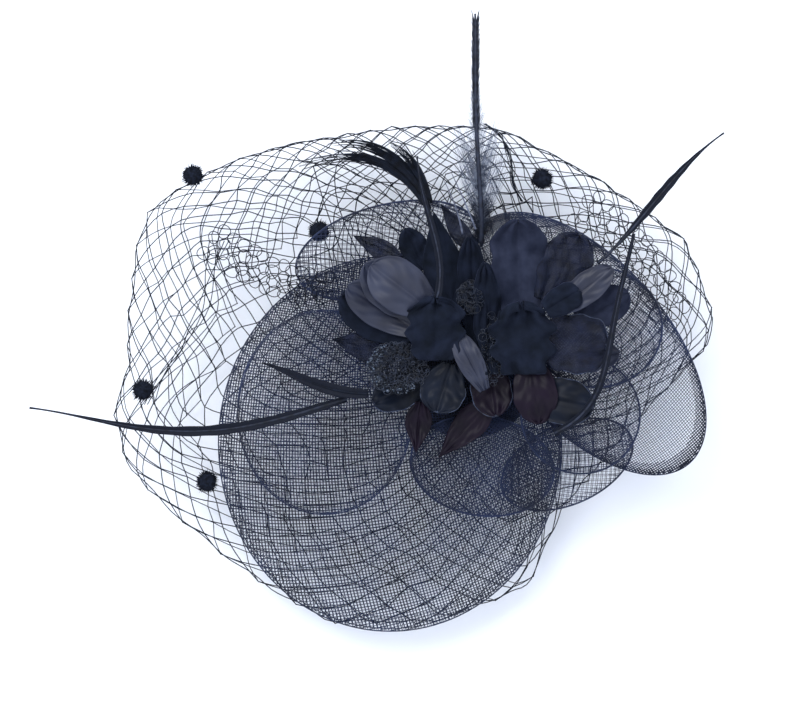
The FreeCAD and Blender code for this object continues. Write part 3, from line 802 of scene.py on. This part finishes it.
def barbs(line, half, count, lean, curl, thick, spread=1.0, start=0.0, end=1.0):
    """Barbs of a feather as fine tapered strands. Each leaves the quill on one side, as long as the blade
    is half wide there, leans towards the tip and curls."""
    paths, radii = [], []
    tangent = unit(np.gradient(line, axis=0))
    for k in range(count):
        s = np.array([start + (end - start) * (k + rng.random()) / count])
        base = along(line, s)[0]
        forward = unit(along(tangent, s)[0])
        side = unit(np.cross(UP, forward)) * (1 if k % 2 else -1)
        width = along(half[:, None], s)[0, 0] * spread * rng.uniform(0.75, 1.1)
        t = np.linspace(0, 1, 5)[:, None]
        path = base + side * width * t * (1 - 0.15 * t) + forward * width * lean * t**0.8
        path = path + rng.normal(0, curl * width, 3) * t**2 + UP * rng.normal(0, 0.15 * width) * t
        paths.append(path)
        radii.append(np.linspace(1, 0.35, 5) * thick)
    return paths, radii


def make_hackle():
    """The upright hackle: a long quill with a narrow close vane at its tip, sparse pale down along its
    middle, and dark fluff and a fan of pale barbs at its foot."""
    line, half = blade_line(corners("hackle_top"), STEM, 80)
    quill = tubes([line], [np.linspace(1.2, 0.4, 80) * MM], 6)
    tip = barbs(line, np.full(80, 2.4 * MM), count=320, lean=3.8, curl=0.04, thick=0.15 * MM,
                spread=0.8, start=0.45, end=0.95)
    fluff = barbs(line, 0.4 * half + 1.5 * MM, count=320, lean=0.9, curl=0.35, thick=0.12 * MM,
                  start=0.02, end=0.15)
    piece("hackle_top_barbs", merge([quill, tubes(*tip), tubes(*fluff)]), HACKLE, ["hackle_top"])
    down = barbs(line, 0.7 * half + 1.2 * MM, count=210, lean=2.2, curl=0.15, thick=0.08 * MM,
                 start=0.2, end=0.62)
    foot = barbs(line, half + 2.5 * MM, count=150, lean=2.4, curl=0.12, thick=0.1 * MM,
                 start=0.02, end=0.3)
    piece("hackle_top_down", merge([tubes(*down), tubes(*foot)]), DOWN)


def make_coque():
    """Cock tail feathers stripped to clusters of barbs. The strands of a cluster share one foot, lie
    close along its middle and part again at their tips."""
    strands, radii = [], []
    for points in islands("coque_spray"):
        line, half = blade_line(points, STEM, 30)
        side = unit(np.cross(UP, unit(np.gradient(line, axis=0))))
        s = np.linspace(0, 1, 16)
        for k in range(COQUE_BARBS):
            place = -1 + 2 * (k + rng.random()) / COQUE_BARBS
            length = rng.uniform(0.6, 0.95)
            middle_line = along(line, s * length)
            swell = half.max() * (0.12 + 0.95 * np.sin(math.pi * np.clip(s * length, 0, 1)) ** 0.8)
            stray = 1.6 * MM * np.clip(s - 0.7, 0, 1) * rng.normal(0, 1.6)
            path = middle_line + along(side, s * length) * (place * swell + stray)[:, None]
            strands.append(path + UP * (rng.normal(0, 0.35 * MM) * s)[:, None])
            radii.append(np.linspace(0.34, 0.1, 16) * MM)
    piece("coque_spray_barbs", tubes(strands, radii), COQUE, ["coque_spray"])


def make_quills():
    """Two bare quills, scraped clean and pale."""
    paths = [blade_line(points, STEM, 16, 2)[0] for points in islands("quill_pair")]
    shape = tubes(paths, [np.linspace(0.45, 0.12, 16) * MM] * 2, 8)
    piece("quill_pair_stripped", shape, QUILL, ["quill_pair"])


def make_leaf_feather():
    """A dark leaf-shaped feather with barbs that lie close together."""
    line, half = blade_line(corners("leaf_feather_left"), STEM, 50)
    shape, uv = vane_strip(line, half * 0.9, fold=0.18, sway=0.1)
    thicken(piece("leaf_feather_left_vane", shape, BIOT, ["leaf_feather_left"], uv), VANE_T)
    quill = tubes([line + UP * 0.2 * MM], [np.linspace(0.6, 0.15, 50) * MM], 6)
    rest = tubes(*barbs(line, half, count=160, lean=1.3, curl=0.06, thick=0.14 * MM, spread=1.05))
    piece("leaf_feather_left_barbs", merge([quill, rest]), COQUE)


# ---- flowers
# Petal outlines: the half width at the foot, where along the petal it is full, and two powers of its tip.
FORMS = {
    "oval": (0.4, 0.56, 2.2, 0.5),
    "broad": (0.62, 0.45, 5.0, 0.5),
    "leaf": (0.35, 0.42, 1.4, 1.0),
}
# Heading of each petal in degrees from +X, its cloth, its outline, how much fuller than its CAD piece the
# cloth is, and how strongly its edge is ruffled and rolled, in mm.
PETALS = {
    "left_satin_upper": (145, "satin", "oval", 1.08, 0.2, 0.6),
    "left_satin_upper_under": (137, "satin", "oval", 0.95, 0.4, 0.3),
    "left_satin_lower": (148, "satin", "oval", 1.25, 0.2, 0.6),
    "left_satin_lower_under": (150, "velvet", "oval", 1.15, 0.4, 0.3),
    "left_organza_side": (168, "organza", "leaf", 1.1, 0.5, 0.2),
    "left_velvet_small_top": (115, "velvet", "oval", 1.25, 0.6, 0.3),
    "left_velvet_tall": (100, "velvet", "leaf", 1.15, 0.3, 0.3),
    "left_velvet_core": (90, "velvet", "broad", 1.1, 2.2, 0.8),
    "left_satin_small": (117, "satin", "oval", 1.1, 0.1, 0.4),
    "left_taffeta_side": (205, "taffeta", "oval", 1.15, 0.5, 0.8),
    "left_taffeta_lower": (253, "taffeta", "oval", 1.2, 0.5, 0.8),
    "left_taffeta_middle": (280, "plum", "oval", 1.25, 0.5, 0.8),
    "lower_leaf_long": (227, "plum", "leaf", 1.15, 0.4, 0.2),
    "lower_leaf_short": (265, "plum", "leaf", 1.15, 0.4, 0.2),
    "middle_velvet_tall": (95, "velvet", "oval", 1.3, 0.9, 0.6),
    "middle_velvet_short": (94, "velvet", "oval", 1.4, 1.5, 0.6),
    "organza_leaf_top": (124, "organza", "leaf", 1.2, 0.4, 0.2),
    "organza_leaf_left": (153, "organza", "leaf", 1.2, 0.4, 0.2),
    "right_velvet_top": (92, "pale velvet", "broad", 1.02, 1.3, 0.2),
    "right_organza_top": (65, "organza", "broad", 1.2, 0.9, 0.2),
    "right_satin_side": (39, "satin", "oval", 1.1, 0.3, 0.5),
    "right_velvet_side": (31, "pale velvet", "oval", 1.2, 0.5, 0.4),
    "right_velvet_rolled": (31, "velvet", "broad", 1.1, 0.3, 1.6),
    "right_velvet_core": (92, "velvet", "broad", 1.05, 2.8, 0.9),
    "right_organza_lower": (355, "organza", "broad", 1.15, 0.8, 0.5),
    "right_satin_tip": (6, "satin", "oval", 1.15, 0.3, 0.4),
    "right_taffeta_glossy": (348, "taffeta", "oval", 1.15, 0.4, 0.8),
    "right_velvet_lower": (277, "plum", "oval", 1.25, 0.5, 0.4),
}
# Petals whose rim gets the lighter tube: a painted highlight along the rolled edge.
RIM_HIGHLIGHTED = ("left_taffeta_side", "left_taffeta_lower", "left_taffeta_middle", "right_taffeta_glossy",
         "right_organza_lower", "right_velvet_rolled")


def petal_surface(node, heading, form, grow, ruffle, roll, phase):
    """A petal on the CAD petal's ball: u runs from foot to tip, v from edge to edge. It widens as a sine
    and closes as a power curve. Pleats fan from the foot, veins slant from the crease, and the edge
    ruffles and rolls over."""
    a = Axes(node, heading)
    foot, full, power, root = FORMS[form]
    s, v = np.meshgrid(np.linspace(0, 1, 54), np.linspace(-1, 1, 37), indexing="ij")
    u = 0.998 * (1 - (1 - s) ** 1.6)
    rising = foot + (1 - foot) * np.sin(math.pi / 2 * np.clip(u / full, 0, 1))
    closing = (1 - np.clip((u - full) / (1 - full), 0, 1) ** power) ** root
    width = rising * closing
    x = grow * a.half[0] * (2 * u - 1)
    y = grow * a.half[1] * width * v
    fine = ruffle * MM * np.abs(v) ** 3 * u * np.sin(7 * u * math.pi + phase + 2 * v)
    tip = ruffle * 0.9 * MM * u**4 * np.sin(10 * v + phase)
    pleat = 0.35 * MM * (1 - u) * np.sin(6 * v * math.pi / 2 + phase)
    crease = -0.7 * MM * np.exp(-((v / 0.1) ** 2)) * np.sin(math.pi * u)
    veins = 0.1 * MM * np.sin(26 * (u - 0.45 * np.abs(v))) * np.abs(v) * (1 - v**2) * 3
    rolled = roll * MM * (np.abs(v) ** 8 + u**12) * np.sign(-a.bend)
    x = x + ruffle * 0.6 * MM * u**6 * np.sin(17 * v + phase)
    y = y * (1 + 0.05 * ruffle * np.sin(19 * u + phase) * np.abs(v))
    crumple = np.zeros_like(u)
    for k in range(1, 5):
        way, shift = rng.uniform(0, TAU, 2)
        along_way = u * math.cos(way) * 2 + v * math.sin(way)
        crumple += (0.15 + 0.4 * ruffle) / k * MM * np.sin(3.2 * k * along_way + shift)
    z = a.bend * (x**2 + y**2) + a.lift + fine + tip + pleat + crease + veins + rolled + crumple
    return a.centre + np.stack([x, y, z], -1) @ a.axes, a


def make_petals():
    """Every petal and leaf of both flowers, one sheet each, some with a thin tube round the rim coloured
    lighter as a painted highlight.
    """
    for k, (node, (heading, stuff, form, grow, ruffle, roll)) in enumerate(PETALS.items()):
        points, a = petal_surface(node, heading, form, grow, ruffle, roll, 1.7 * k)
        rows, columns = points.shape[:2]
        u, v = np.meshgrid(np.linspace(0, 1, rows), np.linspace(0, 1, columns), indexing="ij")
        flat = np.stack([u * a.half[0], v * a.half[1]], -1).reshape(-1, 2) * 2 / (30 * MM)
        shape = points.reshape(-1, 3), [grid_faces(rows, columns)]
        obj = piece(node + "_cloth", shape, CLOTH[stuff], [node], flat)
        thicken(obj, CLOTH_T[stuff])
        # The rim tube is real geometry, but its lighter colour is a painted highlight on the rolled edge.
        if node in RIM_HIGHLIGHTED:
            edge = np.vstack([points[14:, 0], points[-1, 1:], points[-2:13:-1, -1]])
            piece(node + "_piping", tubes([edge + UP * 0.1 * MM], RIM_HIGHLIGHT_R, 6), RIM_HIGHLIGHT)


# Middle and half size, in mm, of the places between the petals where frayed threads show.
FRAYED = (
    ((9.0, 8.0, 25.0), (5.0, 14.0, 3.0)),
    ((0.0, 29.0, 26.0), (4.5, 6.0, 2.5)),
)


def make_stamens():
    """The left flower's middle: a mat of curled threads and a curved row of glass seed beads on its rim.
    The same frayed threads show between the two flowers."""
    low, high = span("left_flower_stamens")
    centre, half = (low + high) / 2, (high - low) / 2
    threads, beads = [], []
    mat_threads, frayed_threads, bead_count = 330, 110, 110
    between = [(np.array(spot) * MM, np.array(size) * MM) for spot, size in FRAYED]
    for spot, size in [(centre, half)] * mat_threads + between * frayed_threads:
        angle, reach = rng.uniform(0, TAU), math.sqrt(rng.random())
        place = np.array([reach * math.cos(angle), reach * math.sin(angle), rng.uniform(-0.5, 1)])
        mid = spot + size * place
        turn = rng.uniform(0, TAU) + np.linspace(0, rng.uniform(3, 7), 10)
        curl = rng.uniform(0.7, 1.9) * MM
        lean = rng.normal(0, 0.5, 2)
        x, y = curl * np.cos(turn), curl * np.sin(turn)
        threads.append(mid + np.stack([x, y, 0.4 * MM + lean[0] * x + lean[1] * y], -1))
    for _ in range(bead_count):
        angle = rng.uniform(1.9, 5.4)
        reach = rng.uniform(0.75, 1.08)
        place = np.array([reach * math.cos(angle), reach * math.sin(angle), rng.uniform(0.3, 1.3)])
        bead_r = rng.choice([0.35, 0.5, 0.75], p=[0.6, 0.3, 0.1]) * MM
        beads.append(ball(centre + half * place, bead_r, 6, 8))
    piece("left_stamen_threads", tubes(threads, LACE_R), LACE, ["left_flower_stamens"])
    piece("left_stamen_beads", merge(beads), BEAD)


# ---- base and clip
def turned(node, edge, columns=72):
    """A round disc in a CAD node's box, turned from its profile: flat faces and a rounded edge."""
    low, high = span(node)
    radius, half = (high - low)[0] / 2, (high - low)[2] / 2
    bend = np.linspace(-math.pi / 2, math.pi / 2, 7)
    edge = min(edge, half)
    inner = np.array([0.35 * radius, 0.7 * radius])
    r = np.concatenate([inner, radius - edge + edge * np.cos(bend), inner[::-1]])
    rim = np.sign(bend) * (half - edge) + edge * np.sin(bend)
    z = np.concatenate([[-half, -half], rim, [half, half]])[:, None]
    lap = np.arange(columns) * TAU / columns
    ring = polar(r[:, None], lap, z).reshape(-1, 3)
    verts = np.vstack([ring, [[0, 0, -half], [0, 0, half]]])
    faces = [grid_faces(len(r), columns, wrap=True)] + fans(len(verts), columns)
    return verts + (low + high) / 2, faces


def make_base():
    """Felt pad with a soft rounded edge, the buckram disc, and running stitches round the pad."""
    pad = piece("felt_pad_soft", turned("felt_pad", 0.8 * MM), FELT, ["felt_pad"])
    piece("foundation_disc_buckram", turned("foundation_disc", 0.3 * MM), BUCKRAM, ["foundation_disc"])
    stitches = 44
    sag = -0.25 * MM * np.sin(np.linspace(0, math.pi, 5))
    paths = [polar(0.93 * PAD_EDGE, angle + np.linspace(0, 0.08, 5), sag)
             for angle in np.arange(stitches) * TAU / stitches]
    piece("felt_pad_stitches", tubes(paths, 0.18 * MM, 5), SEWING)


def make_clip():
    """The steel clip keeps its CAD shapes. Its spring is wound again as a real coil with two legs."""
    for node in ("clip_upper_jaw", "clip_lower_jaw", "clip_pin"):
        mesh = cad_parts[node].data
        mesh.materials.clear()
        mesh.materials.append(STEEL)
    pin = middle("clip_pin")
    low, high = span("clip_spring")
    wire = 0.3 * MM
    turns = 5.5
    half = (high[1] - low[1]) / 2 - wire
    radius = pin[2] - low[2] - wire
    t = np.linspace(0, 1, 150)
    turn = TAU * turns * t
    coil = pin + np.stack([radius * np.sin(turn), (2 * t - 1) * half, radius * np.cos(turn)], -1)
    fore = np.array([low[0] + wire, coil[0, 1], high[2] - wire])
    aft = np.array([high[0], coil[-1, 1], coil[-1, 2]])
    piece("clip_spring_coil", tubes([np.vstack([fore, coil, aft])], wire, 8), STEEL, ["clip_spring"])


def make_clip_stitches():
    """Doubled thread bars over the clip's strip."""
    paths = []
    for points in islands("clip_stitches"):
        low, high = points.min(0), points.max(0)
        near, far, under = low[1] + 0.3 * MM, high[1] - 0.3 * MM, low[2] + 0.35 * MM
        for x in (low[0] + 0.15 * MM, high[0] - 0.15 * MM):
            paths.append(np.array([(x, near, 0), (x, near, under), (x, far, under), (x, far, 0)]))
    piece("clip_stitches_thread", tubes(paths, 0.2 * MM, 6), SEWING, ["clip_stitches"])


def make_stems():
    """The bundle of stems, wound with thread from foot to top, and the flowers' taped wires."""
    low, high = span("stem_binding")
    radius = (high - low)[0] / 2
    stems, windings = 9, 15
    paths = []
    for k in range(stems):
        out = polar(0.0 if k == stems - 1 else 0.58 * radius, k * TAU / stems, 0)
        foot, top = STEM + out, STEM + 0.7 * out
        foot[2], top[2] = low[2], high[2]
        paths.append(np.stack([foot, top]))
    piece("stem_bundle", tubes(paths, 0.3 * radius, 8), TAPE, ["stem_binding"])
    t = np.linspace(0, 1, 420)
    height = low[2] + (0.12 + 0.6 * t) * (high - low)[2]
    winding = polar(radius * (1 - 0.3 * t) * 0.93, TAU * windings * t, height)
    winding[:, :2] += STEM[:2]
    piece("stem_winding", tubes([winding], 0.24 * MM, 5), SEWING)
    for node in ("left_flower_stem", "right_flower_stem"):
        a = Axes(node)
        line = a.centre + a.axes[0] * a.half[0] * np.linspace(-0.95, 0.95, 30)[:, None]
        wraps = 1.2 * MM * (1 + 0.08 * np.sin(np.linspace(0, 40, 30)))
        piece(node + "_taped", tubes([line], [wraps], 10), TAPE, [node])


# ---- stage
def make_stage():
    """Pale floor, soft white surroundings, two broad lamps and the camera straight above the front."""
    floor_z = cad_box[0][2] - OPEN_CLIP_DROP
    reach = 3.0
    verts = [(x * reach, y * reach, floor_z) for x, y in ((-1, -1), (1, -1), (1, 1), (-1, 1))]
    mesh = bpy.data.meshes.new("floor")
    mesh.from_pydata(verts, [], [(0, 1, 2, 3)])
    floor = new_object("floor", mesh)
    mesh.materials.append(surface("white_paper_floor", {"Base Color": srgb("#f4f8ff"), "Roughness": 0.9})[0])
    world = bpy.data.worlds.new("studio")
    bpy.context.scene.world = world
    world.use_nodes = True
    sky = world.node_tree.nodes["Background"].inputs
    sky["Color"].default_value = srgb("#ecf2ff")
    sky["Strength"].default_value = 1.1
    for name, place, power, width in (("key", (-0.45, 0.5, 0.9), 9.0, 0.7),
                                      ("fill", (0.7, -0.3, 0.8), 2.0, 0.8)):
        lamp = bpy.data.lights.new(name, "AREA")
        lamp.energy = power
        lamp.size = width
        obj = new_object(name, lamp)
        aim = np.array([0, 0, 0.02]) - np.array(place)
        obj.location = place
        obj.rotation_euler = Vector(aim).to_track_quat("-Z", "Y").to_euler()
    lens_data = bpy.data.cameras.new("camera")
    lens_data.lens = 135
    lens_data.sensor_width = 36
    camera = new_object("camera", lens_data)
    frame_width = 0.32
    camera.location = (-28 * MM, 7.2 * MM, 20 * MM + frame_width * lens_data.lens / lens_data.sensor_width)
    bpy.context.scene.camera = camera
    bpy.context.scene.view_settings.view_transform = "Standard"


make_stage()
make_base()
make_clip()
make_clip_stitches()
make_stems()
make_saucer()
make_loops()
make_veil()
make_veil_gathers()
make_dots()
make_biots()
make_hackle()
make_coque()
make_quills()
make_leaf_feather()
make_petals()
make_stamens()
